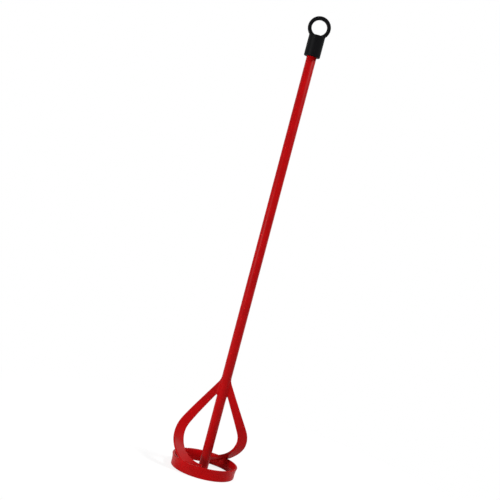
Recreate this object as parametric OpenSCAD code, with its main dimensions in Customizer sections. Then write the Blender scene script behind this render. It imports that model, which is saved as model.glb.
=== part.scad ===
// Mortar mixing paddle for a drill: a round bar, two swept flat-bar blades welded to the bar and to a
// rolled ring, and a push-on moulded cap with a hanging eye. Millimetres, +Z up along the bar, origin at
// the centre of the ring's lower edge.

/* [Bar] */
// Diameter of the round bar
shaft_d = 12; // [9:0.5:16]
// Length of the bar, from its foot to the end of its drive hexagon
shaft_len = 538; // [320:1:700]
// Height of the bar's foot above the ring's lower edge
foot_gap = 2; // [1:0.5:6]
// Chamfer on both ends of the bar
shaft_chamfer = 1; // [0.4:0.1:2]
// Length of the drive hexagon that the cap covers
hex_len = 19; // [8:1:20]
// Depth milled off the bar for each flat of the hexagon
hex_cut = 1; // [0.6:0.1:1.5]

/* [Ring] */
// Outside diameter of the ring's straight wall
ring_d = 79; // [64:1:110]
// Height of the ring
ring_h = 14; // [11:0.5:20]
// Thickness of the strip that the ring is rolled from
ring_t = 2.8; // [2:0.1:4]
// How far the ring's upper edge is flared outwards
ring_flare = 1.5; // [0.5:0.1:3]
// Height of the straight wall below the flare
ring_straight = 5; // [3:0.5:8]
// Width of the weld-filled gap between the rolled strip's two ends
seam_gap = 1.6; // [1:0.1:3]
// Direction of the seam, counted from +X
seam_at = 128; // [100:1:150]

/* [Blades] */
// Width of the flat bar from its belly down
blade_w = 13.2; // [10:0.1:16]
// Width of the flat bar where it meets the shaft
blade_root_w = 9; // [6:0.1:12]
// Thickness of the flat bar
blade_t = 3; // [2:0.1:4]
// Angle between the shaft and the straight stretch of a blade
blade_lean = 30.7; // [26:0.1:38]
// How far the belly's centreline stands out past the ring's wall
blade_belly = 1.7; // [0:0.1:6]
// Turn of a blade about the shaft, from its root to its tip
blade_sweep = 86; // [50:1:110]
// How far the tip's centreline ends below the ring's upper edge
tip_drop = 4.7; // [2:0.1:6]
// Slope of the tip towards the ring's wall
tip_roll = 40; // [15:1:50]

/* [Welds] */
// Radius of the beads along the ring
weld_r = 1.9; // [1.4:0.1:2.6]
// Radius of the fillets between the shaft and the faces of a blade's root
root_fillet = 2.8; // [2:0.1:3.6]
// Reach of a root's weld past the corner between the shaft and the blade's outer edge
root_wrap = 4; // [2:0.5:6]
// Length of one ripple of a bead
weld_pitch = 1.8; // [1.2:0.1:3]
// Height of the seam's bead over the ring's wall
seam_crown = 0.5; // [0.2:0.1:1]

/* [Cap] */
// Depth of the cap's socket
cap_grip = 22.5; // [21:0.5:40]
// Wall of the cap's sleeve
cap_wall = 3.8; // [2.4:0.1:5]
// Thickness of the cap over the end of the bar
cap_top = 3.3; // [2:0.1:6]
// Radius of the cap's upper edge
cap_round = 1.2; // [0.4:0.1:2]
// Diameter of the eye's hole
eye_hole_d = 18.4; // [12:0.2:24]
// Width of the eye's band, from its hole to its rim
eye_band = 4.6; // [3:0.1:7]
// Thickness of the eye from face to face
eye_t = 5; // [4:0.1:8]
// Radius of the eye's outer edges
eye_round = 1.6; // [0.6:0.1:1.9]
// Height of the eye's hole over the cap's top
eye_lift = 0.5; // [0.2:0.1:2]
// Radial clearance of the cap on the bar
cap_clear = 0.05; // [0.02:0.01:0.1]

/* [Hidden] */
$fn = 96;

paint_red = "#b0161a";
cap_black = "#17181a";
through = 1;

shaft_r = shaft_d / 2;
shaft_top = foot_gap + shaft_len;
hex_r = (shaft_r - hex_cut) / cos(30);
hex_corner_r = min(shaft_r, hex_r);

ring_r = ring_d / 2;
ring_in_r = ring_r - ring_t;
ring_edge = 0.4;
flare_h = ring_h - ring_straight;
flare_r = (flare_h * flare_h + ring_flare * ring_flare) / (2 * ring_flare);
flare_steps = 6;

// A blade's centreline lies on a teardrop of revolution: an arc centred on the shaft's axis, which passes
// through the tip's seat in the ring, and the tangent that leans on the shaft.
root_r = shaft_r / 2;
root_lead = root_r / sin(blade_lean);
seat_bite = 0.4;
bulge_r = ring_r + blade_belly;
tip_r = ring_in_r + seat_bite - blade_w / 2 * cos(tip_roll);
tip_z = ring_h - tip_drop;
arc_z = tip_z + sqrt(bulge_r * bulge_r - tip_r * tip_r);
tip_latitude = -acos(tip_r / bulge_r);
straight_run = (bulge_r * cos(blade_lean) - root_r) / sin(blade_lean);
belly_run = straight_run + bulge_r * blade_lean * PI / 180;
blade_run = belly_run - bulge_r * tip_latitude * PI / 180;
root_z = arc_z + bulge_r * sin(blade_lean) + straight_run * cos(blade_lean);
blade_steps = 56;
blade_edge = 0.5;
// A blade's run and turn follow an angle up to its tip; its slope is taken over a small step of that angle.
tip_angle = 90;
slope_angle = 0.2;
// Powers of the curves that run a blade down the teardrop, taper it towards its root and roll it at its tip.
run_power = 0.8;
taper_power = 1.5;
roll_power = 2;

weld_sides = 10;
weld_ripple = 0.07;
weld_end = 0.5;
// How far the roots' welds start inside the faces that they join.
weld_sink = 0.1;
// Half width of the seam's bead, as a share of the gap that it fills.
seam_spread = 1.3;
// Height on the bar of the middle of a blade's root, and half the height of its footprint there.
root_seat_z = root_z - (shaft_r - root_r) / tan(blade_lean);
root_seat_half = blade_root_w / 2 / sin(blade_lean);
// From the side, where the roots' welds start and end over the blade.
root_weld_low = 2 * blade_edge / sin(blade_lean) - root_seat_half;
root_weld_far = shaft_r + root_wrap * sin(blade_lean);
root_fillet_far = shaft_r + root_fillet / 2;
root_edge_z = root_seat_half - blade_edge / sin(blade_lean);
// Where along the blade both its faces have come down into the ring.
ring_weld_from = 75;
ring_weld_steps = 20;

cap_r = shaft_r + cap_clear + cap_wall;
cap_h = cap_grip + cap_top;
cap_foot_z = shaft_top - cap_grip;
cap_lip = 0.6;
eye_r = eye_hole_d / 2;
eye_z = cap_foot_z + cap_h + eye_lift + eye_r;
arc_steps = 5;

function unit(v) = v / norm(v);
function around(r, a, z) = [r * cos(a), r * sin(a), z];
function arc(centre, r, from, to) = [for (i = [0 : arc_steps]) let (a = from + (to - from) * i / arc_steps)
    centre + r * [cos(a), sin(a)]];

// How far the ring's wall stands out at a height.
function flare_at(z) = z < ring_straight ? 0 : flare_r - sqrt(flare_r * flare_r - pow(z - ring_straight, 2));

// Latitude on the teardrop's arc at a run along it; on the straight stretch it stays at the lean.
function latitude(run) = blade_lean - max(0, run - straight_run) / bulge_r * 180 / PI;
function meridian(run) = run < straight_run
    ? [root_r + run * sin(blade_lean), root_z - run * cos(blade_lean)]
    : [bulge_r * cos(latitude(run)), arc_z + bulge_r * sin(latitude(run))];

// A blade drops straight off the shaft at t = 0 and runs along the ring's wall at its tip.
function blade_run_at(t) = blade_run * pow(sin(t), run_power);
function blade_turn_at(t) = blade_sweep * (1 - cos(t));
function blade_width_at(t) = blade_root_w
    + (blade_w - blade_root_w) * pow(min(1, blade_run_at(t) / belly_run), taper_power);
function blade_tilt_at(t) = let (a = latitude(blade_run_at(t)))
    a > 0 ? a : -tip_roll * pow(a / tip_latitude, roll_power);

// The centreline, and the three directions of the flat bar: along it, through it and across its width.
function blade_point(t) = let (m = meridian(blade_run_at(t))) around(m[0], blade_turn_at(t), m[1]);
function blade_along(t) = unit(
    blade_point(min(tip_angle, t + slope_angle)) - blade_point(max(0, t - slope_angle)));
function blade_through(t) = let (tilt = blade_tilt_at(t))
    unit(cross(blade_along(t), around(cos(tilt), blade_turn_at(t), sin(tilt))));
function blade_across(t) = cross(blade_through(t), blade_along(t));
function blade_spot(t, across, deep) = blade_point(t) + blade_across(t) * across + blade_through(t) * deep;

// The flat bar's section, a rectangle with broken edges.
function bar_section(w, thick) = let (u = w / 2, v = thick / 2, e = blade_edge)
    [[u - e, -v], [u, e - v], [u, v - e], [u - e, v], [e - u, v], [-u, v - e], [-u, e - v], [e - u, -v]];
function blade_loop(t) = [for (p = bar_section(blade_width_at(t), blade_t)) blade_spot(t, p[0], p[1])];
// A blade's stock starts on the shaft's axis.
function blade_start() = [for (p = blade_loop(0)) p - blade_along(0) * root_lead];

// How far a spot stands out past the ring's inner wall, and the line where a blade's face meets that wall.
function past_wall(p) = norm([p[0], p[1]]) - ring_in_r - flare_at(p[2]);
function ring_weld_path(face) = [for (i = [0 : ring_weld_steps])
    let (t = ring_weld_from + (tip_angle - ring_weld_from) * i / ring_weld_steps,
         edge = blade_width_at(t) / 2,
         deep = face * blade_t / 2,
         p = blade_spot(t, edge - past_wall(blade_spot(t, edge, deep)) / cos(blade_tilt_at(t)), deep))
    around(ring_in_r + flare_at(p[2]), atan2(p[1], p[0]), p[2])];

// A spot of a root's weld seen from the side, counted up along the shaft from the leaning blade's middle.
function root_side(x, up) = [x, root_seat_z + up - (x - shaft_r) / tan(blade_lean)];

function seam_path() = let (steps = round(2 * ring_h / weld_pitch)) [for (i = [0 : steps])
    let (z = ring_edge + (ring_h - 2 * ring_edge) * i / steps)
    around((ring_r + ring_in_r) / 2 + flare_at(z), seam_at, z)];

// One loop of a weld bead: a rippled ellipse about a point of its path, smaller at the path's ends.
function bead_loop(path, i, up_hint, wide, high) = let (
    last = len(path) - 1,
    along = unit(path[min(last, i + 1)] - path[max(0, i - 1)]),
    up = unit(up_hint - along * (up_hint * along)),
    side = cross(along, up),
    swell = (i == 0 || i == last ? weld_end : 1) * (1 + weld_ripple * cos(i * 180)))
    [for (k = [0 : weld_sides - 1]) let (a = k * 360 / weld_sides)
        path[i] + swell * (side * wide * cos(a) + up * high * sin(a))];

// A closed solid through loops of equally many points.
module loft(loops) {
    n = len(loops[0]);
    last = len(loops) - 1;
    polyhedron(
        points = [for (loop = loops) each loop],
        faces = concat(
            [[for (k = [0 : n - 1]) k]],
            [[for (k = [n - 1 : -1 : 0]) last * n + k]],
            [for (i = [0 : last - 1], k = [0 : n - 1]) [i * n + k, (i + 1) * n + k, i * n + (k + 1) % n]],
            [for (i = [0 : last - 1], k = [0 : n - 1])
                [i * n + (k + 1) % n, (i + 1) * n + k, (i + 1) * n + (k + 1) % n]]));
}

module bead(path, up_hint, wide, high) {
    loft([for (i = [0 : len(path) - 1]) bead_loop(path, i, up_hint, wide, high)]);
}

module round_bar() {
    translate([0, 0, foot_gap]) rotate_extrude() polygon([
        [0, 0], [shaft_r - shaft_chamfer, 0], [shaft_r, shaft_chamfer], [shaft_r, shaft_len - hex_len],
        [0, shaft_len - hex_len]]);
}

module drive_hexagon() {
    translate([0, 0, shaft_top - hex_len]) intersection() {
        cylinder(r = hex_r, h = hex_len, $fn = 6);
        rotate_extrude() polygon([
            [0, 0], [hex_corner_r, 0], [hex_corner_r, hex_len - shaft_chamfer],
            [hex_corner_r - shaft_chamfer, hex_len], [0, hex_len]]);
    }
}

module shaft() {
    color(paint_red) union() {
        round_bar();
        drive_hexagon();
    }
}

// The ring's inner and outer wall, from the lower edge up.
function ring_wall(r) = [for (i = [0 : flare_steps])
    let (z = ring_straight + (flare_h - ring_edge) * i / flare_steps) [r + flare_at(z), z]];
function ring_inside() = let (wall = ring_wall(ring_in_r)) concat(
    [[ring_in_r + ring_edge, 0], [ring_in_r, ring_edge]],
    wall,
    [[ring_in_r + ring_flare + ring_edge, ring_h]]);
function ring_outside() = let (wall = ring_wall(ring_r)) concat(
    [[ring_r + ring_flare - ring_edge, ring_h]],
    [for (i = [flare_steps : -1 : 0]) wall[i]],
    [[ring_r, ring_edge], [ring_r - ring_edge, 0]]);

module ring_stock() {
    rotate_extrude() polygon(concat(ring_inside(), ring_outside()));
}

// What a blade must not enter: the ring's wall, and all the room outside it up to the ring's upper edge.
module ring_keep_out() {
    far = bulge_r + blade_w;
    rotate_extrude() polygon(concat(ring_inside(), [[far, ring_h], [far, 0]]));
}

module ring() {
    color(paint_red) difference() {
        ring_stock();
        rotate([0, 0, seam_at]) translate([ring_in_r - through, -seam_gap / 2, -through])
            cube([ring_t + ring_flare + 2 * through, seam_gap, ring_h + 2 * through]);
    }
}

module ring_seam_weld() {
    color(paint_red) difference() {
        bead(seam_path(), around(1, seam_at, 0), seam_gap * seam_spread, ring_t / 2 + seam_crown);
        ring();
    }
}

module blade_stock() {
    loft(concat([blade_start()], [for (i = [0 : blade_steps]) blade_loop(tip_angle * i / blade_steps)]));
}

module turned_to_left() {
    rotate([0, 0, 180]) children();
}

module blade_right() {
    color(paint_red) difference() {
        blade_stock();
        round_bar();
        ring_keep_out();
    }
}

module blade_left() {
    turned_to_left() blade_right();
}

// The shaft and a blade's root cut through level, with a fillet in both corners between them.
module root_section() {
    offset(r = -root_fillet) offset(delta = root_fillet) {
        circle(r = shaft_r - weld_sink);
        translate([0, weld_sink - blade_t / 2]) square([root_weld_far, blade_t - 2 * weld_sink]);
    }
}

// What a root's weld covers from the side: the leaning root, and a wedge over its outer edge.
module root_side_view() {
    wedge_top = root_seat_half + root_wrap;
    rotate([90, 0, 0]) linear_extrude(2 * shaft_d, center = true) polygon([
        root_side(0, root_weld_low), root_side(root_fillet_far, root_weld_low),
        root_side(root_fillet_far, root_edge_z), root_side(root_weld_far, root_edge_z),
        root_side(root_weld_far, root_seat_half), root_side(shaft_r, wedge_top), root_side(0, wedge_top)]);
}

module root_weld_right() {
    color(paint_red) difference() {
        intersection() {
            linear_extrude(shaft_top) root_section();
            root_side_view();
        }
        round_bar();
        blade_stock();
    }
}

module root_weld_left() {
    turned_to_left() root_weld_right();
}

module ring_weld_right() {
    color(paint_red) difference() {
        union() {
            bead(ring_weld_path(-1), [0, 0, 1], weld_r, weld_r);
            bead(ring_weld_path(1), [0, 0, 1], weld_r, weld_r);
        }
        ring_stock();
        blade_stock();
    }
}

module ring_weld_left() {
    turned_to_left() ring_weld_right();
}

module cap_sleeve() {
    translate([0, 0, cap_foot_z]) rotate_extrude() polygon(concat(
        [[0, 0]],
        arc([cap_r - cap_lip, cap_lip], cap_lip, -90, 0),
        arc([cap_r - cap_round, cap_h - cap_round], cap_round, 0, 90),
        [[0, cap_h]]));
}

module eye_loop() {
    half = eye_t / 2;
    translate([0, 0, eye_z]) rotate([90, 0, 0]) rotate_extrude() polygon(concat(
        [[eye_r, half], [eye_r, -half]],
        arc([eye_r + eye_band - eye_round, eye_round - half], eye_round, -90, 0),
        arc([eye_r + eye_band - eye_round, half - eye_round], eye_round, 0, 90)));
}

module hanging_cap() {
    color(cap_black) difference() {
        cap_sleeve();
        translate([0, 0, cap_foot_z - through])
            cylinder(r = shaft_r + cap_clear, h = cap_grip - hex_len + through);
        translate([0, 0, cap_foot_z]) cylinder(r = hex_corner_r + cap_clear, h = cap_grip);
    }
}

module cap_eye() {
    color(cap_black) difference() {
        eye_loop();
        cap_sleeve();
    }
}

shaft();
blade_left();
blade_right();
ring();
ring_seam_weld();
root_weld_left();
root_weld_right();
ring_weld_left();
ring_weld_right();
hanging_cap();
cap_eye();
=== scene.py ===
"""A mortar mixing paddle: painted bar, swept blades, rolled ring, weld beads and moulded cap.

The file is laid out as an add-on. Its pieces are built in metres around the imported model,
+Z up along the bar.
"""

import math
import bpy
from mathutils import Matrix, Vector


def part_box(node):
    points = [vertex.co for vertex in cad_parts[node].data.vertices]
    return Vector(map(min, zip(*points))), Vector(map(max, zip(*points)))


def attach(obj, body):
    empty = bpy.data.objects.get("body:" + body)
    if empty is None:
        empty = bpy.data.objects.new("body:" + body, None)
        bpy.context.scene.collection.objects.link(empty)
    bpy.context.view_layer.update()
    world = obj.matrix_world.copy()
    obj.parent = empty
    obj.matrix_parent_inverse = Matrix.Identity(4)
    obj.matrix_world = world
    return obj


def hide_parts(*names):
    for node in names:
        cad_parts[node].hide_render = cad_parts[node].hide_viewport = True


bl_info = {
    "name": "Mortar Mixing Paddle",
    "version": (1, 0, 0),
    "blender": (4, 5, 0),
    "location": "3D View > Sidebar > Paddle",
    "description": "Builds a painted mixing paddle with its weld beads and its moulded cap",
    "category": "Add Mesh",
}

from functools import partial, wraps
from types import SimpleNamespace

import bmesh
import bpy
from bpy.props import FloatProperty, FloatVectorProperty, PointerProperty
from mathutils import Color, Matrix, Vector

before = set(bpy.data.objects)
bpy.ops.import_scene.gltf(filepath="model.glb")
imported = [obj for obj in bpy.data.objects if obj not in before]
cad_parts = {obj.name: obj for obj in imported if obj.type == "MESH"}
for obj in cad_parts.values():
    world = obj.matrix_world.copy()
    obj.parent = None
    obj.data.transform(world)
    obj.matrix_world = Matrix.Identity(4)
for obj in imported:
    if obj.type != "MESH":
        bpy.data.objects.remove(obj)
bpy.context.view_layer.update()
MM = 0.001

BAR_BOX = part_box("shaft")
RING_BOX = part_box("ring")
CAP_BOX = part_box("hanging_cap")
EYE_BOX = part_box("cap_eye")


# Properties


def number(name, description, default, **kind):
    """A number of some kind."""
    return FloatProperty(name=name, description=description, default=default, **kind)


length = partial(number, min=0, unit="LENGTH", precision=5)
share = partial(number, min=0, max=1, subtype="FACTOR")
power = partial(number, min=0, unit="POWER")


def angle(name, description, degrees):
    """An angle, given in degrees and kept in radians."""
    return number(name, description, math.radians(degrees), subtype="ANGLE")


def colour(name, description, *seen):
    """A colour, given as it is seen, from 0 to 255, and kept linear."""
    kept = Color([value / 255 for value in seen]).from_srgb_to_scene_linear()
    return FloatVectorProperty(
        name=name, description=description, default=kept, min=0, max=1, subtype="COLOR"
    )


class BarSettings(bpy.types.PropertyGroup):
    """Sizes of the round bar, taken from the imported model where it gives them."""

    bar_radius: length("Bar radius", "Radius of the round bar", round(BAR_BOX[1].x, 5))
    bar_foot: length("Bar foot", "Height of the bar's foot", BAR_BOX[0].z)
    bar_top: length("Bar top", "Height of the drive hexagon's end", BAR_BOX[1].z)
    bar_chamfer: length("Bar chamfer", "Chamfer on both ends of the bar", 1 * MM)
    hex_length: length("Hexagon length", "Length of the drive hexagon", 19 * MM)
    hex_cut: length("Hexagon cut", "Depth milled off the bar for each flat", 1 * MM)
    hex_round: length("Hexagon rounding", "How far its corners are rubbed down", 0.12 * MM)


class RingSettings(bpy.types.PropertyGroup):
    """Sizes of the rolled ring."""

    ring_flare: length("Ring flare", "How far the upper edge is flared outwards", 1.5 * MM)
    ring_radius: length("Ring radius", "Outside radius of the straight wall", 39.5 * MM)
    ring_height: length("Ring height", "Height of the ring", RING_BOX[1].z)
    ring_thickness: length("Ring thickness", "Thickness of the rolled strip", 2.8 * MM)
    ring_straight: length("Ring straight", "Height of the wall below the flare", 5 * MM)
    ring_edge: length("Ring edge", "Radius of the strip's edges", 0.9 * MM)
    seam_gap: length("Seam gap", "Gap between the strip's two ends", 1.6 * MM)
    seam_angle: angle("Seam angle", "Direction of the seam, counted from +X", 128)


class BladeSettings(bpy.types.PropertyGroup):
    """Sizes of the two swept flat bars."""

    blade_width: length("Blade width", "Width from the belly down", 13.2 * MM)
    root_width: length("Blade root width", "Width where a blade meets the bar", 9 * MM)
    blade_thickness: length("Blade thickness", "Thickness of the flat bar", 3 * MM)
    blade_edge: length("Blade edge", "Radius of the flat bar's edges", 1.1 * MM)
    blade_lean: angle("Blade lean", "Angle between the bar and a blade's straight stretch", 30.7)
    blade_belly: length("Blade belly", "How far it stands out past the ring's wall", 1.7 * MM)
    blade_sweep: angle("Blade sweep", "Turn of a blade about the bar, from root to tip", 86)
    tip_drop: length("Tip drop", "How far the tip ends below the ring's upper edge", 4.7 * MM)
    tip_roll: angle("Tip roll", "Slope of the tip towards the ring's wall", 40)
    seat_bite: length("Seat bite", "How far the tip's edge goes into the ring's wall", 0.4 * MM)


class WeldSettings(bpy.types.PropertyGroup):
    """Sizes of the weld beads under the paint."""

    weld_radius: length("Weld radius", "Radius of the beads along the ring", 1.9 * MM)
    root_blend: length("Root blend", "Width of the blend from the bar to a blade", 4 * MM)
    root_cell: length("Root cell", "Size of the cells that this blend is drawn from", 0.25 * MM)
    weld_pitch: length("Weld pitch", "Length of one ripple of a bead", 1.5 * MM)
    weld_ripple: length("Weld ripple", "Depth of the ripples", 0.16 * MM)
    seam_crown: length("Seam crown", "Height of the seam's bead over the wall", 0.5 * MM)


class CapSettings(bpy.types.PropertyGroup):
    """Sizes of the moulded cap."""

    cap_radius: length("Cap radius", "Outside radius of the sleeve", 9.85 * MM)
    cap_foot: length("Cap foot", "Height of the sleeve's mouth", CAP_BOX[0].z)
    cap_height: length(
        "Cap height", "Height of the sleeve with its closed top", CAP_BOX[1].z - CAP_BOX[0].z
    )
    cap_grip: length("Cap grip", "Depth of the socket", 22.5 * MM)
    cap_round: length("Cap rounding", "Radius of the sleeve's upper edge", 0.9 * MM)
    cap_lip: length("Cap lip", "Radius of the sleeve's lower edge", 1.1 * MM)
    cap_clearance: length("Cap clearance", "Gap between the socket and the bar", 0.05 * MM)
    eye_radius: length("Eye radius", "Radius of the eye's hole", 9.2 * MM)
    eye_band: length("Eye band", "Width of the eye's band", 4.6 * MM)
    eye_thickness: length("Eye thickness", "Thickness of the eye", 5 * MM)
    eye_round: length("Eye rounding", "Radius of the eye's edges", 1.6 * MM)
    eye_blend: length("Eye blend", "Width of the blend between eye and sleeve", 1.2 * MM)
    cap_cell: length("Cap cell", "Size of the cells that the cap is drawn from", 0.35 * MM)


class FinishSettings(bpy.types.PropertyGroup):
    """Colours of the paint and the plastic, and the paint's wear."""

    paint: colour("Paint", "Colour of the red paint", 184, 4, 8)
    paint_deep: colour("Deep paint", "Colour where the paint lies thick", 164, 2, 5)
    steel: colour("Steel", "Colour of rubbed steel", 96, 92, 88)
    plastic: colour("Plastic", "Colour of the cap", 6, 6, 8)
    plastic_pale: colour("Pale plastic", "Colour of the cap where it is rubbed", 19, 19, 21)
    dust: colour("Dust", "Colour of the fine dust", 150, 140, 130)
    paint_wear: share("Paint wear", "How far the hexagon's corners are rubbed bare", 0.5)


class StageSettings(bpy.types.PropertyGroup):
    """The camera, the floor and the light."""

    camera_place: FloatVectorProperty(
        name="Camera place",
        description="Place of the camera",
        default=(0, -1.2061, 0.3365),
        subtype="TRANSLATION",
    )
    camera_yaw: angle("Camera yaw", "Turn of the view to the left", 0.584)
    camera_pitch: angle("Camera pitch", "Slope of the view below the horizon", 2.905)
    camera_roll: angle("Camera roll", "Turn of the picture about the view", 14.81)
    camera_lens: number("Lens", "Focal length in millimetres", 72, min=20)
    floor_shade: share("Floor shade", "How much of the floor's own shading is seen", 0.3)
    floor_lit: share("Floor brightness", "Brightness of that shading outside the shadow", 0.55)
    shade_reach: length("Shade reach", "How far from the object that shading is seen", 0.4)
    sky: share("Sky", "Strength of the even light from all round", 0.21)
    key_power: power("Key", "Power of the low key lamp", 70)
    side_power: power("Side", "Power of the high side lamp", 69)
    back_power: power("Back", "Power of the lamp behind", 30)


class PaddleSettings(bpy.types.PropertyGroup):
    """All settings of the paddle."""

    bar: PointerProperty(type=BarSettings)
    ring: PointerProperty(type=RingSettings)
    blade: PointerProperty(type=BladeSettings)
    weld: PointerProperty(type=WeldSettings)
    cap: PointerProperty(type=CapSettings)
    finish: PointerProperty(type=FinishSettings)
    stage: PointerProperty(type=StageSettings)


# Node trees


class Field:
    """An output socket that takes part in formulas; each operation adds a node to its tree."""

    def __init__(self, socket):
        self.socket = socket
        self.tree = socket.id_data

    def out(self, name):
        """Another output of the same node, by name or index."""
        return Field(self.socket.node.outputs[name])

    def __add__(self, other):
        return maths("ADD", self, other)

    def __radd__(self, other):
        return maths("ADD", other, self)

    def __sub__(self, other):
        return maths("SUBTRACT", self, other)

    def __rsub__(self, other):
        return maths("SUBTRACT", other, self)

    def __mul__(self, other):
        if self.socket.type == "VECTOR" and not is_vector(other):
            inputs = {"Vector": self, "Scale": other}
            return put(self.tree, "ShaderNodeVectorMath", inputs, operation="SCALE")
        return maths("MULTIPLY", self, other)

    __rmul__ = __mul__

    def __truediv__(self, other):
        return maths("DIVIDE", self, other)

    def __rtruediv__(self, other):
        return maths("DIVIDE", other, self)

    def __pow__(self, other):
        return maths("POWER", self, other)

    def __neg__(self):
        return self * -1


def is_vector(value):
    """Whether a value of a formula is a vector field."""
    return isinstance(value, Field) and value.socket.type == "VECTOR"


def put(tree, kind, inputs=None, **options):
    """Adds a node, fills its inputs by identifier or index, and returns its first shown output."""
    node = tree.nodes.new(kind)
    for name, value in options.items():
        setattr(node, name, value)
    sockets = {s.identifier: s for s in node.inputs}
    for key, value in (inputs or {}).items():
        socket = node.inputs[key] if isinstance(key, int) else sockets[key]
        if isinstance(value, Field):
            tree.links.new(value.socket, socket)
        else:
            socket.default_value = value
    return Field(next(s for s in node.outputs if s.enabled))


def maths(operation, *values):
    """A Math or Vector Math node over fields and numbers."""
    tree = next(v.tree for v in values if isinstance(v, Field))
    kind = "ShaderNodeVectorMath" if any(map(is_vector, values)) else "ShaderNodeMath"
    return put(tree, kind, dict(enumerate(values)), operation=operation)


sin = partial(maths, "SINE")
cos = partial(maths, "COSINE")
sqrt = partial(maths, "SQRT")
size_of = partial(maths, "ABSOLUTE")
least = partial(maths, "MINIMUM")
most = partial(maths, "MAXIMUM")
cross = partial(maths, "CROSS_PRODUCT")
unit = partial(maths, "NORMALIZE")


def held(value, low, high):
    """A value kept between two others."""
    return most(least(value, high), low)


def parts(field):
    """The X, Y and Z of a vector field."""
    split = put(field.tree, "ShaderNodeSeparateXYZ", {0: field})
    return split, split.out("Y"), split.out("Z")


def turned(field, turn):
    """A vector field turned about the bar's axis."""
    inputs = {"Vector": field, "Angle": turn}
    return put(field.tree, "ShaderNodeVectorRotate", inputs, rotation_type="Z_AXIS")


def plain(name):
    """A socket's name as an identifier."""
    return name.replace(" ", "_").lower()


class Tree:
    """A node tree under construction."""

    def __init__(self, group, kind, settings):
        self.group = group
        self.kind = kind
        self.settings = settings

    def put(self, kind, inputs=None, **options):
        """Adds a node and returns its first shown output."""
        return put(self.group, kind, inputs, **options)

    def vector(self, x, y, z):
        """A vector field of three values."""
        return self.put("ShaderNodeCombineXYZ", {0: x, 1: y, 2: z})

    def call(self, build, **given):
        """Places a group with the given inputs, and returns its outputs by name."""
        node = self.group.nodes.new(self.kind + "NodeGroup")
        node.node_tree = build(self.settings).group
        for socket in node.inputs:
            value = given[plain(socket.name)]
            if isinstance(value, Field):
                self.group.links.new(value.socket, socket)
            else:
                socket.default_value = value
        return SimpleNamespace(**{plain(s.name): Field(s) for s in node.outputs})


class Group(Tree):
    """A node group under construction, whose sizes are named inputs."""

    def __init__(self, name, kind, settings):
        super().__init__(bpy.data.node_groups.new(name, kind + "NodeTree"), kind, settings)
        self.entry = self.group.nodes.new("NodeGroupInput")
        self.exit = self.group.nodes.new("NodeGroupOutput")
        self.taken = {}

    def inputs(self):
        """The sockets of the group's inputs."""
        return [s for s in self.group.interface.items_tree if s.in_out == "INPUT"]

    def take(self, name, default=None, socket="Float"):
        """Adds an input, or finds one of that name, and returns its field."""
        if name not in self.taken:
            kind = "NodeSocket" + socket
            made = self.group.interface.new_socket(name, in_out="INPUT", socket_type=kind)
            if default is not None:
                made.default_value = default
            # The last socket is the empty one that Blender keeps for the next input.
            self.taken[name] = Field(self.entry.outputs[-2])
        return self.taken[name]

    def take_sizes(self, *names):
        """Adds an input for each size of the named settings, and returns them by identifier."""
        found = {}
        for name in names:
            sizes = getattr(self.settings, name)
            for prop in own_properties(sizes):
                found[prop.identifier] = self.take(prop.name, getattr(sizes, prop.identifier))
        return SimpleNamespace(**found)

    def give(self, name, field, socket="Float"):
        """Adds an output."""
        kind = "NodeSocket" + socket
        self.group.interface.new_socket(name, in_out="OUTPUT", socket_type=kind)
        self.group.links.new(field.socket, self.exit.inputs[-2])

    def call(self, build, **given):
        """Places another group, whose inputs that aren't given are this one's of the same name."""
        for socket in build(self.settings).inputs():
            if plain(socket.name) not in given:
                given[plain(socket.name)] = self.take(socket.name, socket.default_value)
        return super().call(build, **given)

    def capture(self, geometry, **fields):
        """Keeps fields on a geometry's points, and returns the geometry and the kept fields."""
        node = self.group.nodes.new("GeometryNodeCaptureAttribute")
        self.group.links.new(geometry.socket, node.inputs[0])
        for at, (name, field) in enumerate(fields.items(), start=1):
            node.capture_items.new("VECTOR" if is_vector(field) else "FLOAT", name)
            self.group.links.new(field.socket, node.inputs[at])
        return Field(node.outputs[0]), *[Field(node.outputs[at + 1]) for at in range(len(fields))]

    def move(self, geometry, position):
        """Moves a geometry's points to a position."""
        return self.put("GeometryNodeSetPosition", {"Geometry": geometry, "Position": position})

    def push(self, geometry, offset):
        """Moves a geometry's points by an offset."""
        return self.put("GeometryNodeSetPosition", {"Geometry": geometry, "Offset": offset})

    def turn(self, geometry):
        """Turns a geometry about the bar's axis by the tree's own angle."""
        turn = self.vector(0, 0, self.take("Turn"))
        return self.put("GeometryNodeTransform", {"Geometry": geometry, "Rotation": turn})

    def finish(self, geometry):
        """Ends the tree in a smooth, realized mesh with its material."""
        smooth = self.put("GeometryNodeSetShadeSmooth", {"Geometry": geometry})
        real = self.put("GeometryNodeRealizeInstances", {"Geometry": smooth})
        material = self.take("Material", socket="Material")
        made = self.put("GeometryNodeSetMaterial", {"Geometry": real, "Material": material})
        self.give("Geometry", made, "Geometry")


def own_properties(group):
    """A property group's own number properties."""
    return [p for p in group.bl_rna.properties if p.type in ("FLOAT", "INT") and not p.is_array]


BUILT = {}


def once(build):
    """Makes a function build its group or material only once, for the settings first given."""

    def built(settings):
        if build.__name__ not in BUILT:
            BUILT[build.__name__] = build(settings)
        return BUILT[build.__name__]

    return built


def node_group(*sizes, kind="Geometry"):
    """Makes a function that fills a node group build it, with inputs for some settings' sizes."""

    def decorate(fill):
        @once
        @wraps(fill)
        def build(settings):
            tree = Group(fill.__name__, kind, settings)
            fill(tree, tree.take_sizes(*sizes))
            return tree

        return build

    return decorate


# Rules of the shapes

# How a blade's run speeds up, its width grows and its tip rolls over along it.
RUN_POWER = 0.8
TAPER_POWER = 1.5
ROLL_POWER = 2
# How steeply a blade's cut edge leaves the ring's rim, and how far below the rim it starts to.
RIM_SLOPE = 3.5
RIM_START = 1 * MM


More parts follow.
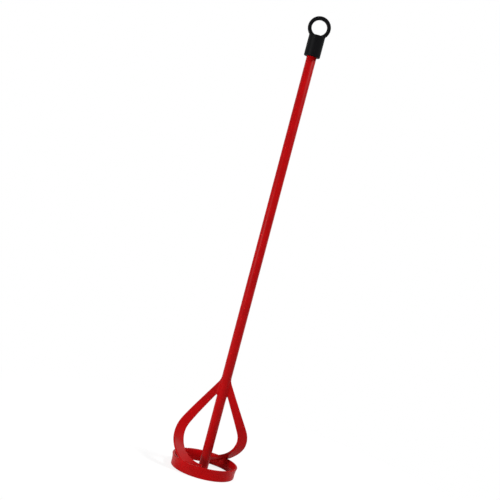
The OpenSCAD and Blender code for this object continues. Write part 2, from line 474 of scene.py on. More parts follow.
@node_group("bar", "ring", "blade")
def teardrop(tree, s):
    """The blades' meridian: an arc about a point of the bar's axis, and a tangent up to the bar."""
    belly_radius = s.ring_radius + s.blade_belly
    seat_radius = s.ring_radius - s.ring_thickness + s.seat_bite
    tip_radius = seat_radius - s.blade_width / 2 * cos(s.tip_roll)
    tip_height = s.ring_height - s.tip_drop
    arc_height = tip_height + sqrt(belly_radius * belly_radius - tip_radius * tip_radius)
    tip_latitude = -maths("ARCCOSINE", tip_radius / belly_radius)
    root_radius = s.bar_radius / 2
    straight_run = (belly_radius * cos(s.blade_lean) - root_radius) / sin(s.blade_lean)
    belly_run = straight_run + belly_radius * s.blade_lean
    tree.give("Belly radius", belly_radius)
    tree.give("Tip latitude", tip_latitude)
    tree.give("Root radius", root_radius)
    tree.give("Straight run", straight_run)
    tree.give("Belly run", belly_run)
    tree.give("Blade run", belly_run - belly_radius * tip_latitude)
    arc_end = arc_height + belly_radius * sin(s.blade_lean)
    tree.give("Root height", arc_end + straight_run * cos(s.blade_lean))


@node_group("bar", "ring", "blade")
def blade_spot(tree, s):
    """A place on a blade: along it from 0 to 1, across it from -1 to 1, and deep through it."""
    along, across, deep = [tree.take(name) for name in ("Along", "Across", "Deep")]
    drop = tree.call(teardrop)
    t = most(along, 0) * (math.pi / 2)
    lead = most(-along, 0) * drop.blade_run
    run = drop.blade_run * sin(t) ** RUN_POWER
    on_arc = most(run - drop.straight_run, 0)
    latitude = s.blade_lean - on_arc / drop.belly_radius
    on_straight = least(run, drop.straight_run) - lead
    rise = drop.belly_radius * (sin(latitude) - sin(s.blade_lean))
    reach = drop.belly_radius * (cos(latitude) - cos(s.blade_lean))
    radius = drop.root_radius + on_straight * sin(s.blade_lean) + reach
    height = drop.root_height - on_straight * cos(s.blade_lean) + rise

    # Directions of the flat bar, in the radial, round and upward directions at its own place.
    steepness = drop.blade_run * RUN_POWER * cos(t)
    round_step = radius * s.blade_sweep * sin(t) ** (2 - RUN_POWER)
    forward = unit(tree.vector(steepness * sin(latitude), round_step, -steepness * cos(latitude)))
    tilt = most(latitude, 0) - s.tip_roll * (least(latitude, 0) / drop.tip_latitude) ** ROLL_POWER
    through = unit(cross(forward, tree.vector(cos(tilt), 0, sin(tilt))))
    sideways = cross(through, forward)
    taper = least(run / drop.belly_run, 1) ** TAPER_POWER
    width = s.root_width + (s.blade_width - s.root_width) * taper
    spot = tree.vector(radius, 0, height) + sideways * (across * width / 2) + through * deep
    tree.give("Position", turned(spot, s.blade_sweep * (1 - cos(t))), "Vector")
    tree.give("Reach", cos(tilt) * width / 2)


@node_group("ring")
def flare_rule(tree, s):
    """How far the ring's wall stands out at a height, and its inner radius there."""
    height = tree.take("Height")
    rise = s.ring_height - s.ring_straight
    radius = (rise * rise + s.ring_flare * s.ring_flare) / (2 * s.ring_flare)
    above = held(height - s.ring_straight, 0, rise)
    flare = radius - sqrt(radius * radius - above * above)
    tree.give("Flare", flare)
    tree.give("Wall", s.ring_radius - s.ring_thickness + flare)


# How often a blade's edge is measured and cut back to the wall.
CUT_PASSES = 3


@node_group("ring", "blade")
def blade_rule(tree, s):
    """A place on a blade that is cut to fit inside the ring's wall."""
    along, across, deep = [tree.take(name) for name in ("Along", "Across", "Deep")]
    spot = tree.call(blade_spot, along=along, across=across, deep=deep)
    for _ in range(CUT_PASSES):
        x, y, z = parts(spot.position)
        wall = tree.call(flare_rule, height=z).wall
        room = wall + s.seat_bite + RIM_SLOPE * most(z - s.ring_height + RIM_START, 0)
        across = across - most(sqrt(x * x + y * y) - room, 0) / spot.reach
        spot = tree.call(blade_spot, along=along, across=across, deep=deep)
    tree.give("Position", spot.position, "Vector")


# Points along the ring and a blade, cuts across a strip's wide sides, and points round its edges.
RING_STATIONS = 220
BLADE_STATIONS = 170
STRIP_CUTS = 7
EDGE_POINTS = 6
MERGE_REACH = 0.001 * MM


@node_group()
def strip(tree, _):
    """A straight flat bar with rounded edges, and each point's place along and across it."""
    width = tree.take("Width")
    thickness = tree.take("Thickness")
    edge = tree.take("Edge")
    stations = tree.take("Stations", BLADE_STATIONS, "Int")
    inputs = {"Width": width, "Height": thickness}
    flat = tree.put("GeometryNodeCurvePrimitiveQuadrilateral", inputs)
    wide_side = 1 - maths("MODULO", tree.put("GeometryNodeInputIndex"), 2)
    cut = tree.put("GeometryNodeSubdivideCurve", {"Curve": flat, "Cuts": wide_side * STRIP_CUTS})
    inputs = {"Curve": cut, "Radius": edge, "Count": EDGE_POINTS}
    filleted = tree.put("GeometryNodeFilletCurve", inputs, mode="POLY")
    section, place = tree.capture(filleted, place=tree.put("GeometryNodeInputPosition"))
    line = tree.put("GeometryNodeCurvePrimitiveLine", {"End": (0, 0, 1)})
    path, along = stationed(tree, line, stations)
    inputs = {"Curve": path, "Profile Curve": section, "Fill Caps": True}
    swept = tree.put("GeometryNodeCurveToMesh", inputs)
    # The fillet leaves several points on each of the cuts.
    single = tree.put("GeometryNodeMergeByDistance", {"Geometry": swept, "Distance": MERGE_REACH})
    x, y, _ = parts(place)
    tree.give("Mesh", single, "Geometry")
    tree.give("Along", along)
    tree.give("X", x)
    tree.give("Y", y)


def stationed(tree, curve, count):
    """A curve with a number of points, and each point's place along it from 0 to 1."""
    path = tree.put("GeometryNodeResampleCurve", {"Curve": curve, "Count": count}, mode="COUNT")
    return tree.capture(path, along=tree.put("GeometryNodeSplineParameter"))


# A bead's points: how far apart they are along it, and how many go round it.
BEAD_STEP = 0.2 * MM
BEAD_SIDES = 28
# The share of a bead's radius that is left at its ends, and how blunt they are.
BEAD_END = 0.2
BEAD_BLUNT = 10
# How far a crescent's sides trail behind its crown, counted in ripples.
RIPPLE_LAG = 0.7
# Unevenness of the ripples: its fineness, and its depth counted in ripples' depths.
BLOTCH_SCALE = 420.0
BLOTCH_DEPTH = 2


@node_group("weld")
def bead(tree, s):
    """A weld bead along a curve, with crescent ripples and rounded ends."""
    curve = tree.take("Curve", socket="Geometry")
    radius = tree.take("Radius")
    inputs = {"Curve": curve, "Length": BEAD_STEP}
    path = tree.put("GeometryNodeResampleCurve", inputs, mode="LENGTH")
    parameter = tree.put("GeometryNodeSplineParameter")
    path, factor, run = tree.capture(path, factor=parameter, run=parameter.out("Length"))
    ends = sqrt(1 + BEAD_END**2 - (2 * factor - 1) ** BEAD_BLUNT)
    section = tree.put("GeometryNodeCurvePrimitiveCircle", {"Resolution": BEAD_SIDES, "Radius": 1})
    inputs = {"Curve": path, "Profile Curve": section, "Scale": radius * ends, "Fill Caps": True}
    tube = tree.put("GeometryNodeCurveToMesh", inputs)
    normal = tree.put("GeometryNodeInputNormal")
    x, y, _ = parts(tree.put("GeometryNodeInputPosition"))
    facing = maths("DOT_PRODUCT", normal, unit(tree.vector(x, y, 0))).out("Value")
    lag = RIPPLE_LAG * (1 - size_of(facing))
    wave = size_of(sin((run / s.weld_pitch + lag) * math.pi))
    blotch = tree.put("ShaderNodeTexNoise", {"Scale": BLOTCH_SCALE, "Detail": 1.0})
    depth = s.weld_ripple * (wave - 1) + s.weld_ripple * BLOTCH_DEPTH * (blotch - 0.5)
    tree.give("Mesh", tree.push(tube, normal * depth), "Geometry")


def rounded(first, second, radius):
    """Distance from a rectangle whose sides lie at zero, with rounded corners."""
    first = first + radius
    second = second + radius
    outside = sqrt(most(first, 0) ** 2 + most(second, 0) ** 2)
    return outside + least(most(first, second), 0) - radius


# How far a root's weld lies inside the bar and the blade where it doesn't fill their corner.
WELD_SINK = 0.12 * MM


@node_group("bar", "blade", "weld")
def root_distance(tree, s):
    """Distance of a point from the right root's weld, a rippled blend of the bar and the blade."""
    x, y, z = parts(tree.put("GeometryNodeInputPosition"))
    up = z - tree.call(root_seat).height
    across = (x - s.bar_radius) * cos(s.blade_lean) + up * sin(s.blade_lean)
    bar = sqrt(x * x + y * y) - s.bar_radius
    wide = size_of(across) - s.root_width / 2
    blade = rounded(wide, size_of(y) - s.blade_thickness / 2, s.blade_edge)
    corner = held(1 - size_of(bar - blade) / s.root_blend, 0, 1)
    wave = size_of(sin((up - size_of(bar - blade)) / s.weld_pitch * math.pi))
    ripple = s.weld_ripple * corner * (wave - 0.5)
    tree.give("Distance", maths("SMOOTH_MIN", bar, blade, s.root_blend) + WELD_SINK - ripple)


@node_group("bar", "blade")
def root_seat(tree, s):
    """Height on the bar of a blade's root, and half the height of the root's footprint there."""
    drop = tree.call(teardrop)
    below = (s.bar_radius - drop.root_radius) / maths("TANGENT", s.blade_lean)
    tree.give("Height", drop.root_height - below)
    tree.give("Half", s.root_width / 2 / sin(s.blade_lean))


# Width of the rounding at the socket's edges.
SOCKET_BLEND = 0.9 * MM


@node_group("bar", "cap")
def cap_distance(tree, s):
    """Distance of a point from the cap's surface, less than zero inside."""
    x, y, z = parts(tree.put("GeometryNodeInputPosition"))

    from_axis = sqrt(x * x + y * y)
    up = z - s.cap_foot
    half = s.cap_height / 2
    edge = s.cap_lip + (s.cap_round - s.cap_lip) * maths("GREATER_THAN", up, half)
    sleeve = rounded(from_axis - s.cap_radius, size_of(up - half) - half, edge)

    above_eye = z - (EYE_BOX[1].z - s.eye_band - s.eye_radius)
    from_eye = sqrt(x * x + above_eye * above_eye)
    middle = s.eye_radius + s.eye_band / 2
    wide = size_of(from_eye - middle) - s.eye_band / 2
    eye = rounded(wide, size_of(y) - s.eye_thickness / 2, s.eye_round)
    whole = maths("SMOOTH_MIN", sleeve, eye, s.eye_blend)

    corner = (s.bar_radius - s.hex_cut) / math.cos(math.pi / 6) + s.cap_clearance
    mouth = most(from_axis - s.bar_radius - s.cap_clearance, up - (s.cap_grip - s.hex_length))
    socket = least(mouth, most(from_axis - corner, up - s.cap_grip))
    tree.give("Distance", maths("SMOOTH_MAX", whole, -socket, SOCKET_BLEND))


# Pieces


@node_group("blade")
def blade_tree(tree, s):
    """A flat bar bent along the blade's rule."""
    bar = tree.call(
        strip,
        width=s.blade_width,
        thickness=s.blade_thickness,
        edge=s.blade_edge,
        stations=BLADE_STATIONS,
    )
    across = bar.x / (s.blade_width / 2)
    drop = tree.call(teardrop)
    lead = drop.root_radius / sin(s.blade_lean) / drop.blade_run
    along = bar.along * (1 + lead) - lead
    place = tree.call(blade_rule, along=along, across=across, deep=bar.y)
    tree.finish(tree.move(bar.mesh, turned(place.position, tree.take("Turn"))))


@node_group("ring")
def ring_tree(tree, s):
    """A strip rolled into the flared ring, open at its seam."""
    bar = tree.call(
        strip,
        width=s.ring_height,
        thickness=s.ring_thickness,
        edge=s.ring_edge,
        stations=RING_STATIONS,
    )
    height = bar.x + s.ring_height / 2
    flare = tree.call(flare_rule, height=height).flare
    middle = s.ring_radius - s.ring_thickness / 2
    gap = s.seam_gap / middle
    turn = s.seam_angle + gap / 2 + bar.along * (2 * math.pi - gap)
    place = turned(tree.vector(middle + bar.y + flare, 0, height), turn)
    tree.finish(tree.move(bar.mesh, place))


PATH_POINTS = 60


def bend_path(tree):
    """A curve to be bent by a rule, and each point's place along it from 0 to 1."""
    return stationed(tree, tree.put("GeometryNodeCurvePrimitiveLine"), PATH_POINTS)


# Room round a drawn surface, counted in cells, and how often its points are set onto the true one.
ROOM_CELLS = 4
SETTLE_PASSES = 2
# The density at the surface.
SURFACE = 0.5


def drawn(tree, distance, low, high, cell):
    """The surface in a box where a distance is zero, drawn in cells and then set onto it."""
    x, y, z = parts(high - low)
    density = held(SURFACE - distance / (ROOM_CELLS * cell), 0, 1)
    inputs = {"Density": density, "Min": low, "Max": high}
    inputs.update({"Resolution X": x / cell, "Resolution Y": y / cell, "Resolution Z": z / cell})
    inputs = {"Volume": tree.put("GeometryNodeVolumeCube", inputs), "Threshold": SURFACE}
    mesh = tree.put("GeometryNodeVolumeToMesh", inputs, resolution_mode="GRID")
    for _ in range(SETTLE_PASSES):
        mesh = tree.push(mesh, tree.put("GeometryNodeInputNormal") * -distance)
    return mesh


@node_group("bar", "blade", "weld")
def root_weld_tree(tree, s):
    """The fillets up both faces of a blade's root and over its outer edge."""
    seat = tree.call(root_seat)
    deep = s.blade_thickness / 2 + s.root_blend
    low = tree.vector(s.bar_radius / 2, -deep, seat.height - seat.half - s.root_blend)
    high = tree.vector(s.bar_radius + s.root_blend, deep, seat.height + seat.half + s.root_blend)
    mesh = drawn(tree, tree.call(root_distance).distance, low, high, s.root_cell)
    tree.finish(tree.turn(mesh))


# Where along a blade its beads on the ring start.
RING_WELD_FROM = 75 / 90


@node_group("ring", "blade", "weld")
def ring_weld_tree(tree, s):
    """Beads above and below a blade's tip, where its outer edge meets the ring's inner wall."""
    beads = []
    for face in (-1, 1):
        path, along = bend_path(tree)
        down = RING_WELD_FROM + (1 - RING_WELD_FROM) * along
        deep = s.blade_thickness * (face / 2)
        spot = tree.call(blade_rule, along=down, across=1.0, deep=deep)
        x, y, z = parts(spot.position)
        wall = tree.call(flare_rule, height=z).wall
        place = turned(tree.vector(wall, 0, z), maths("ARCTAN2", y, x))
        made = tree.call(bead, curve=tree.move(path, place), radius=s.weld_radius)
        beads.append(made.mesh)
    joined = tree.group.nodes.new("GeometryNodeJoinGeometry")
    for mesh in beads:
        tree.group.links.new(mesh.socket, joined.inputs[0])
    tree.finish(tree.turn(Field(joined.outputs[0])))


# How far the seam's bead stays inside the ring's upper and lower edges.
SEAM_END = 0.2 * MM


@node_group("ring", "weld")
def seam_weld_tree(tree, s):
    """One bead through the gap between the strip's two ends, proud inside and outside the ring."""
    path, along = bend_path(tree)
    z = SEAM_END + (s.ring_height - 2 * SEAM_END) * along
    flare = tree.call(flare_rule, height=z).flare
    middle = s.ring_radius - s.ring_thickness / 2 + flare
    place = turned(tree.vector(middle, 0, z), s.seam_angle)
    radius = s.ring_thickness / 2 + s.seam_crown
    made = tree.call(bead, curve=tree.move(path, place), radius=radius)
    tree.finish(made.mesh)


@node_group("bar", "cap")
def cap_tree(tree, s):
    """The moulded cap with its eye."""
    room = ROOM_CELLS * s.cap_cell
    wide = s.eye_radius + s.eye_band + room
    deep = s.cap_radius + room
    low = tree.vector(-wide, -deep, s.cap_foot - room)
    high = tree.vector(wide, deep, EYE_BOX[1].z + room)
    distance = tree.call(cap_distance).distance
    tree.finish(drawn(tree, distance, low, high, s.cap_cell))


def keep(piece, body, slot, *nodes):
    """Hangs a finished piece on its body and lets it stand for its CAD nodes."""
    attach(piece, body)
    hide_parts(*nodes)


def add_object(name, data):
    """A new object in the scene."""
    made = bpy.data.objects.new(name, data)
    bpy.context.scene.collection.objects.link(made)
    return made


def grown(name, build, settings, material, turn=0.0):
    """An object with the plain mesh that a node group makes of the settings."""
    tree = build(settings)
    piece = add_object(name, bpy.data.meshes.new(name))
    modifier = piece.modifiers.new(name, "NODES")
    modifier.node_group = tree.group
    values = {"Turn": turn, "Material": material}
    for group in (settings.bar, settings.ring, settings.blade, settings.weld, settings.cap):
        values.update({p.name: getattr(group, p.identifier) for p in own_properties(group)})
    for socket in tree.inputs():
        modifier[socket.identifier] = values[socket.name]
    graph = bpy.context.evaluated_depsgraph_get()
    made = piece.evaluated_get(graph)
    mesh = bpy.data.meshes.new_from_object(made, preserve_all_data_layers=True, depsgraph=graph)
    piece.modifiers.remove(modifier)
    piece.data = mesh
    mesh.name = name
    return piece


# Rounding of cut ends: the angle past which an edge is a cut one, the steps, and the widths.
CUT_ANGLE = math.radians(50)
CUT_STEPS = 3
BAR_CUT = 0.25 * MM
BLADE_CUT = 0.4 * MM


def rounded_ends(piece, width):
    """Rounds the cut ends of a bar."""
    bevel = piece.modifiers.new("cut ends", "BEVEL")
    bevel.limit_method = "ANGLE"
    bevel.angle_limit = CUT_ANGLE
    bevel.width = width
    bevel.segments = CUT_STEPS


BAR_SIDES = 144
# Chamfer of the shoulder where the hexagon starts.
SHOULDER_CUT = 0.25 * MM
# How closely the rubbed paint keeps to the hexagon's corners.
RUBBED_POWER = 12


def bar_rows(s):
    """Heights and radii of the bar's rows, and whether each is milled to a hexagon."""
    radius = s.bar_radius
    shoulder = s.bar_top - s.hex_length
    return [
        (s.bar_foot, radius - s.bar_chamfer, 0),
        (s.bar_foot + s.bar_chamfer, radius, 0),
        (shoulder - SHOULDER_CUT, radius, 0),
        (shoulder, radius - SHOULDER_CUT, 0),
        (shoulder, radius, 1),
        (s.bar_top - s.bar_chamfer, radius, 1),
        (s.bar_top, radius - s.bar_chamfer, 1),
    ]


def bar_mesh(s):
    """The round bar with its milled hexagon, as one closed mesh."""
    flat = s.bar_radius - s.hex_cut
    corner = flat / math.cos(math.pi / 6) - s.hex_round
    shape = bmesh.new()
    rubbed = shape.verts.layers.float.new("rubbed")
    loops = []
    for z, radius, milled in bar_rows(s):
        loop = []
        for side in range(BAR_SIDES):
            turn = 2 * math.pi * side / BAR_SIDES
            reach = radius
            if milled:
                from_flat = turn % (math.pi / 3) - math.pi / 6
                reach = min(radius - s.bar_radius + corner, flat / math.cos(from_flat))
            vertex = shape.verts.new((reach * math.cos(turn), reach * math.sin(turn), z))
            on_side = milled and radius == s.bar_radius
            vertex[rubbed] = on_side * math.cos(3 * turn) ** RUBBED_POWER
            loop.append(vertex)
        loops.append(loop)
    for lower, upper in zip(loops, loops[1:]):
        for side in range(BAR_SIDES):
            after = (side + 1) % BAR_SIDES
            shape.faces.new((lower[side], lower[after], upper[after], upper[side]))
    shape.faces.new(reversed(loops[0]))
    shape.faces.new(loops[-1])
    mesh = bpy.data.meshes.new("bar")
    shape.to_mesh(mesh)
    shape.free()
    mesh.shade_smooth()
    return mesh


# Materials

# Clouds of a finish: how much finer their second layer is, its share, their floor and contrast.
FINE_RATIO = 7
FINE_SHARE = 0.3
CLOUD_FLOOR = 0.3
CLOUD_CONTRAST = 2.5
# Dust: the scales of its clouds and specks, how small the specks are and how they gather, and the
# share that lies as an even film.
DUST_CLOUDS = 45.0
DUST_SPECKS = 900.0
SPECK_EDGE = 5
SPECK_FLOOR = 0.5
SPECK_CONTRAST = 6
FILM_SHARE = 0.5
# The two finishes: scale of the clouds, dust, roughness and relief, and how much they mirror.
PAINT = SimpleNamespace(
    cloud_scale=55.0,
    dust=0.006,
    rough=0.34,
    cloud_rough=0.06,
    dust_rough=0.5,
    swell_size=1.6 * MM,
    tooth_size=0.5 * MM,
    tooth_share=0.15,
    relief=0.04 * MM,
    mirror=0.07,
)
PLASTIC = SimpleNamespace(
    cloud_scale=90.0,
    dust=0.01,
    rough=0.42,
    cloud_rough=0.1,
    dust_rough=0.4,
    swell_size=0.9 * MM,
    tooth_size=0.22 * MM,
    tooth_share=0.6,
    relief=0.03 * MM,
    mirror=0.045,
)


def opaque(values):
    """A colour as a socket takes it."""
    return (*values, 1.0)


def mixed(tree, factor, first, second):
    """A colour between two others, which is the node's third output."""
    inputs = {"Factor_Float": factor, "A_Color": first, "B_Color": second}
    return tree.put("ShaderNodeMix", inputs, data_type="RGBA").out(2)


def noise(tree, place, scale, detail):
    """A noise texture over a place."""
    return tree.put("ShaderNodeTexNoise", {"Vector": place, "Scale": scale, "Detail": detail})


@node_group(kind="Shader")
def mottle(tree, _):
    """Cloudy variation of a finish, from 0 to 1."""
    place = tree.take("Vector", socket="Vector")
    scale = tree.take("Scale", PAINT.cloud_scale)
    broad = noise(tree, place, scale, detail=2.0)
    fine = noise(tree, place, scale * FINE_RATIO, detail=3.0)
    clouds = broad * (1 - FINE_SHARE) + fine * FINE_SHARE
    tree.give("Value", held((clouds - CLOUD_FLOOR) * CLOUD_CONTRAST, 0, 1))


@node_group(kind="Shader")
def skin_grain(tree, _):
    """Fine relief of a skin: a soft swell and a finer tooth, as a height from 0 to 1."""
    place = tree.take("Vector", socket="Vector")
    swell_size = tree.take("Swell size", PAINT.swell_size)
    tooth_size = tree.take("Tooth size", PAINT.tooth_size)
    tooth_share = tree.take("Tooth share", PAINT.tooth_share)
    swell = noise(tree, place, 1 / swell_size, detail=1.0)
    tooth = noise(tree, place, 1 / tooth_size, detail=2.0)
    tree.give("Height", swell * (1 - tooth_share) + tooth * tooth_share)


@node_group(kind="Shader")
def dust_film(tree, _):
    """Where fine dust lies, from 0 to 1."""
    place = tree.take("Vector", socket="Vector")
    amount = tree.take("Amount", PAINT.dust)
    cloud = noise(tree, place, DUST_CLOUDS, detail=4.0)
    specks = tree.put("ShaderNodeTexVoronoi", {"Vector": place, "Scale": DUST_SPECKS})
    where = held((cloud - SPECK_FLOOR) * SPECK_CONTRAST, 0, 1)
    spots = held(1 - specks * SPECK_EDGE, 0, 1) * where
    tree.give("Mask", held(cloud * FILM_SHARE + spots, 0, 1) * amount)


def feed(tree, shader, **fields):
    """Links fields to a shader's inputs, named in lower case."""
    for name, field in fields.items():
        tree.group.links.new(field.socket, shader.inputs[name.replace("_", " ").title()])


def new_finish(settings, name, look):
    """A material with its clouds, dust and relief, and the fields that its colour is made from."""
    material = bpy.data.materials.new(name)
    material.use_nodes = True
    tree = Tree(material.node_tree, "Shader", settings)
    shader = material.node_tree.nodes["Principled BSDF"]
    place = tree.put("ShaderNodeTexCoord").out("Object")
    cloud = tree.call(mottle, vector=place, scale=look.cloud_scale).value
    dust = tree.call(dust_film, vector=place, amount=look.dust).mask
    sizes = {key: getattr(look, key) for key in ("swell_size", "tooth_size", "tooth_share")}
    grain = tree.call(skin_grain, vector=place, **sizes)
    inputs = {"Height": grain.height, "Distance": look.relief, "Strength": 1.0}
    feed(tree, shader, normal=tree.put("ShaderNodeBump", inputs))
    shader.inputs["Specular IOR Level"].default_value = look.mirror
    rough = look.rough + cloud * look.cloud_rough + dust * look.dust_rough
    fields = {"place": place, "cloud": cloud, "dust": dust, "rough": rough}
    return SimpleNamespace(material=material, tree=tree, shader=shader, **fields)


# Broad changes of the paint's gloss.
GLOSS_SCALE = 24.0
GLOSS_ROUGH = 0.06
# Scuffs on the hexagon: their scale, and how they are drawn out along the bar.
SCUFF_SCALE = 900.0
SCUFF_STRETCH = (1, 1, 0.12)
# Rubbed paint: where it starts with no wear, how far full wear lowers that, and how sharp, bare and
# rough its patches are.
WEAR_START = 0.7
WEAR_RANGE = 0.5
WEAR_EDGE = 6
WEAR_MOST = 0.8
WEAR_ROUGH = 0.1


@once
def red_paint(settings):
    """Enamel over steel: cloudy red, a slight orange peel, rubbed off the hexagon's corners."""
    finish = settings.finish
    made = new_finish(settings, "gloss_red_enamel", PAINT)
    tree = made.tree
    gloss = tree.call(mottle, vector=made.place, scale=GLOSS_SCALE).value
    rubbed = tree.put("ShaderNodeAttribute", attribute_name="rubbed").out("Fac")
    streaks = tree.put("ShaderNodeMapping", {"Vector": made.place, "Scale": SCUFF_STRETCH})
    scuff = noise(tree, streaks, SCUFF_SCALE, detail=4.0)
    start = WEAR_START - finish.paint_wear * WEAR_RANGE
    worn = held((rubbed * scuff - start) * WEAR_EDGE, 0, WEAR_MOST)
    red = mixed(tree, made.cloud, opaque(finish.paint_deep), opaque(finish.paint))
    dusty = mixed(tree, made.dust, red, opaque(finish.dust))
    feed(
        tree,
        made.shader,
        base_color=mixed(tree, worn, dusty, opaque(finish.steel)),
        roughness=made.rough + gloss * GLOSS_ROUGH + worn * WEAR_ROUGH,
        metallic=worn,
    )
    return made.material


# How far the cap's clouds go towards the pale colour.
PALE_SHARE = 0.4


@once
def black_plastic(settings):
    """Satin moulded plastic with a fine spark-eroded grain, rubbed paler here and there."""
    finish = settings.finish
    made = new_finish(settings, "satin_black_plastic", PLASTIC)
    pale = made.cloud * PALE_SHARE
    black = mixed(made.tree, pale, opaque(finish.plastic), opaque(finish.plastic_pale))
    base = mixed(made.tree, made.dust, black, opaque(finish.dust))
    feed(made.tree, made.shader, base_color=base, roughness=made.rough)
    return made.material


# Operators


class PADDLE_OT_bar(bpy.types.Operator):
    """Turns the round bar and mills its drive hexagon"""

    bl_idname = "paddle.bar"
    bl_label = "Bar"

    def execute(self, context):
        settings = context.scene.paddle
        bar = add_object("bar", bar_mesh(settings.bar))
        bar.data.materials.append(red_paint(settings))
        rounded_ends(bar, BAR_CUT)
        keep(bar, "paddle", "red_paint", "shaft")
        return {"FINISHED"}


# Turn of each side's pieces about the bar.
SIDES = {"right": 0.0, "left": math.pi}


class PADDLE_OT_blades(bpy.types.Operator):
    """Sweeps the two flat-bar blades from the bar into the ring"""

    bl_idname = "paddle.blades"
    bl_label = "Blades"

    def execute(self, context):
        settings = context.scene.paddle
        paint = red_paint(settings)
        for side, turn in SIDES.items():
            blade = grown(f"{side}_blade", blade_tree, settings, paint, turn)
            rounded_ends(blade, BLADE_CUT)
            keep(blade, "paddle", "red_paint", f"blade_{side}")
        return {"FINISHED"}


class PADDLE_OT_ring(bpy.types.Operator):
    """Rolls the flared ring from a strip"""

    bl_idname = "paddle.ring"
    bl_label = "Ring"

    def execute(self, context):
        settings = context.scene.paddle
        ring = grown("rolled_ring", ring_tree, settings, red_paint(settings))
        keep(ring, "paddle", "red_paint", "ring")
        return {"FINISHED"}


class PADDLE_OT_welds(bpy.types.Operator):
    """Lays the beads that join the blades to the bar and the ring, and close the ring"""

    bl_idname = "paddle.welds"
    bl_label = "Welds"

    def execute(self, context):
        settings = context.scene.paddle
        paint = red_paint(settings)
        for side, turn in SIDES.items():
            root = grown(f"{side}_root_bead", root_weld_tree, settings, paint, turn)
            keep(root, "paddle", "red_paint", f"root_weld_{side}")
            tip = grown(f"{side}_ring_beads", ring_weld_tree, settings, paint, turn)
            keep(tip, "paddle", "red_paint", f"ring_weld_{side}")
        seam = grown("seam_bead", seam_weld_tree, settings, paint)
        keep(seam, "paddle", "red_paint", "ring_seam_weld")
        return {"FINISHED"}


class PADDLE_OT_cap(bpy.types.Operator):
    """Moulds the push-on cap with its hanging eye"""

    bl_idname = "paddle.cap"
    bl_label = "Cap"

    def execute(self, context):
        settings = context.scene.paddle
        cap = grown("moulded_cap", cap_tree, settings, black_plastic(settings))
        keep(cap, "cap", "black_plastic", "hanging_cap", "cap_eye")
        return {"FINISHED"}


WHITE = (1, 1, 1, 1)
FLOOR_GREY = (0.8, 0.8, 0.8, 1)
FLOOR_HALF = 6.0
SENSOR_WIDTH = 36
LAMP_AIM = Vector((0, 0, 0.15))
# Each lamp's place and size, and whether it shows in the gloss.
LAMPS = {
    "key": ((-2.4, -2.4, 0.45), 0.7, True),
    "side": ((1.88, -0.5, 2.94), 0.7, True),
    "back": ((-0.51, 2.9, 1.85), 0.9, False),
}


def shown(tree, own, seen):
    """Mixes what a surface gives to the scene with what the camera, mirrors and glass see of it."""
    path = tree.nodes.new("ShaderNodeLightPath")
    looking = most(Field(path.outputs["Is Camera Ray"]), Field(path.outputs["Is Glossy Ray"]))
    looking = most(looking, Field(path.outputs["Is Transmission Ray"]))
    return put(tree, "ShaderNodeMixShader", {0: looking, 1: own, 2: seen})


def floor_material(stage):
    """A pale floor that is seen as white but keeps the object's shadow beside it."""
    material = bpy.data.materials.new("pale_floor")
    material.use_nodes = True
    tree = material.node_tree
    tree.nodes.remove(tree.nodes["Principled BSDF"])
    pale = put(tree, "ShaderNodeBsdfDiffuse", {"Color": FLOOR_GREY})
    x, y, _ = parts(put(tree, "ShaderNodeTexCoord").out("Object"))
    beside = held(1 - sqrt(x * x + y * y) / stage.shade_reach, 0, 1)
    shade = beside * stage.floor_shade
    strength = (1 - shade * stage.floor_lit) / (1 - shade)
    white = put(tree, "ShaderNodeEmission", {"Color": WHITE, "Strength": strength})
    seen = put(tree, "ShaderNodeMixShader", {0: shade, 1: white, 2: pale})
    surface = tree.nodes["Material Output"].inputs["Surface"]
    tree.links.new(shown(tree, pale, seen).socket, surface)
    return material


def add_floor(stage):
    """A wide square floor."""
    ends = ((-1, -1), (1, -1), (1, 1), (-1, 1))
    mesh = bpy.data.meshes.new("floor")
    mesh.from_pydata([(x * FLOOR_HALF, y * FLOOR_HALF, 0) for x, y in ends], [], [(0, 1, 2, 3)])
    mesh.materials.append(floor_material(stage))
    return add_object("floor", mesh)


def studio_world(stage):
    """Even light from all round, and a white backdrop."""
    world = bpy.data.worlds.new("studio")
    world.use_nodes = True
    tree = world.node_tree
    sky = put(tree, "ShaderNodeBackground", {"Color": WHITE, "Strength": stage.sky})
    white = put(tree, "ShaderNodeBackground", {"Color": WHITE, "Strength": 1})
    tree.links.new(shown(tree, sky, white).socket, tree.nodes["World Output"].inputs["Surface"])
    return world


def add_lamp(name, place, size, watts):
    """A square lamp that shines from a place towards the paddle."""
    data = bpy.data.lights.new(name, "AREA")
    data.size = size
    data.energy = watts
    holder = add_object(name, data)
    holder.location = place
    holder.rotation_euler = (LAMP_AIM - Vector(place)).to_track_quat("-Z", "Y").to_euler()
    return holder


def add_camera(stage):
    """The camera that sees the paddle as the photograph does."""
    data = bpy.data.cameras.new("camera")
    data.lens = stage.camera_lens
    data.sensor_width = SENSOR_WIDTH
    camera = add_object("camera", data)
    upright = Matrix.Rotation(math.pi / 2 - stage.camera_pitch, 4, "X")
    turn = Matrix.Rotation(stage.camera_yaw, 4, "Z")
    roll = Matrix.Rotation(stage.camera_roll, 4, "Z")
    camera.matrix_world = Matrix.Translation(stage.camera_place) @ turn @ upright @ roll
    return camera


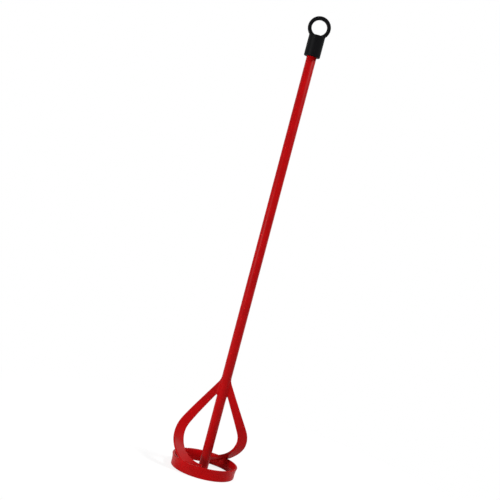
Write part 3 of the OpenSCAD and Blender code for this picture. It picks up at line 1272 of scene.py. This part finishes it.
class PADDLE_OT_stage(bpy.types.Operator):
    """Sets up the pale floor, the soft lamps and the camera"""

    bl_idname = "paddle.stage"
    bl_label = "Stage"

    def execute(self, context):
        stage = context.scene.paddle.stage
        add_floor(stage)
        context.scene.world = studio_world(stage)
        for name, (place, size, glossy) in LAMPS.items():
            lamp = add_lamp(name, place, size, getattr(stage, f"{name}_power"))
            lamp.visible_glossy = glossy
        context.scene.camera = add_camera(stage)
        context.scene.view_settings.view_transform = "Standard"
        return {"FINISHED"}


OPERATORS = (
    PADDLE_OT_stage,
    PADDLE_OT_bar,
    PADDLE_OT_blades,
    PADDLE_OT_ring,
    PADDLE_OT_welds,
    PADDLE_OT_cap,
)


class PADDLE_PT_sidebar(bpy.types.Panel):
    """Settings of the paddle and a button for each group of its pieces"""

    bl_idname = "PADDLE_PT_sidebar"
    bl_label = "Mixing Paddle"
    bl_space_type = "VIEW_3D"
    bl_region_type = "UI"
    bl_category = "Paddle"

    def draw(self, context):
        settings = context.scene.paddle
        for group in ("bar", "ring", "blade", "weld", "cap", "finish", "stage"):
            box = self.layout.box()
            box.label(text=group.title())
            chosen = getattr(settings, group)
            for prop in chosen.bl_rna.properties:
                if not prop.is_readonly and prop.identifier != "name":
                    box.prop(chosen, prop.identifier)
        for operator in OPERATORS:
            self.layout.operator(operator.bl_idname)


CLASSES = (
    BarSettings,
    RingSettings,
    BladeSettings,
    WeldSettings,
    CapSettings,
    FinishSettings,
    StageSettings,
    PaddleSettings,
    *OPERATORS,
    PADDLE_PT_sidebar,
)


def register():
    """Registers the classes and hangs the settings on the scene."""
    for cls in CLASSES:
        bpy.utils.register_class(cls)
    bpy.types.Scene.paddle = PointerProperty(type=PaddleSettings)


def unregister():
    """Takes the settings and the classes away again."""
    del bpy.types.Scene.paddle
    for cls in reversed(CLASSES):
        bpy.utils.unregister_class(cls)


def main():
    """Builds the paddle and its stage."""
    register()
    bpy.ops.paddle.stage()
    bpy.ops.paddle.bar()
    bpy.ops.paddle.blades()
    bpy.ops.paddle.ring()
    bpy.ops.paddle.welds()
    bpy.ops.paddle.cap()


if __name__ == "__main__":
    main()
